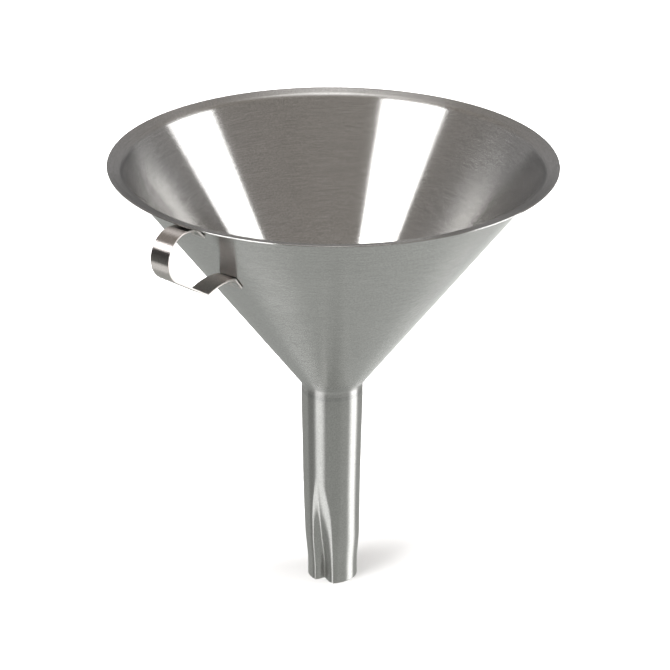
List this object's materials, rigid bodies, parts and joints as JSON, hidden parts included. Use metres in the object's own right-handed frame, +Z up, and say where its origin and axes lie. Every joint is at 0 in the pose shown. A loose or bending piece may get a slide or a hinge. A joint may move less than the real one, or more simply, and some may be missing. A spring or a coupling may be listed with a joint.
{
  "type": "canning funnel",
  "caption": "Stainless funnel with a flared lip, a long tapered spout with a pressed air groove, and a strip finger loop under the lip.",
  "frame": {"origin": "on the axis at the neck, where the collar meets the cone: the ring that seats in a jar or bottle mouth", "axes": "+Z up along the axis towards the rim, +X towards the finger loop"},
  "size_m": [0.213, 0.2, 0.2074],
  "materials": {
    "bowl_steel": "fine circumferential brushing, satin",
    "spout_steel": "satin, brushed round the tube",
    "handle_steel": "bright rolled strip, nearly mirror",
    "weld_steel": "ground weld, slightly dull"
  },
  "bodies": {
    "root": {"bowl": "bowl_steel", "spout": "spout_steel", "neck_weld": "weld_steel", "handle": "handle_steel", "handle_upper_welds": "weld_steel", "handle_lower_welds": "weld_steel"}
  },
  "joints": []
}
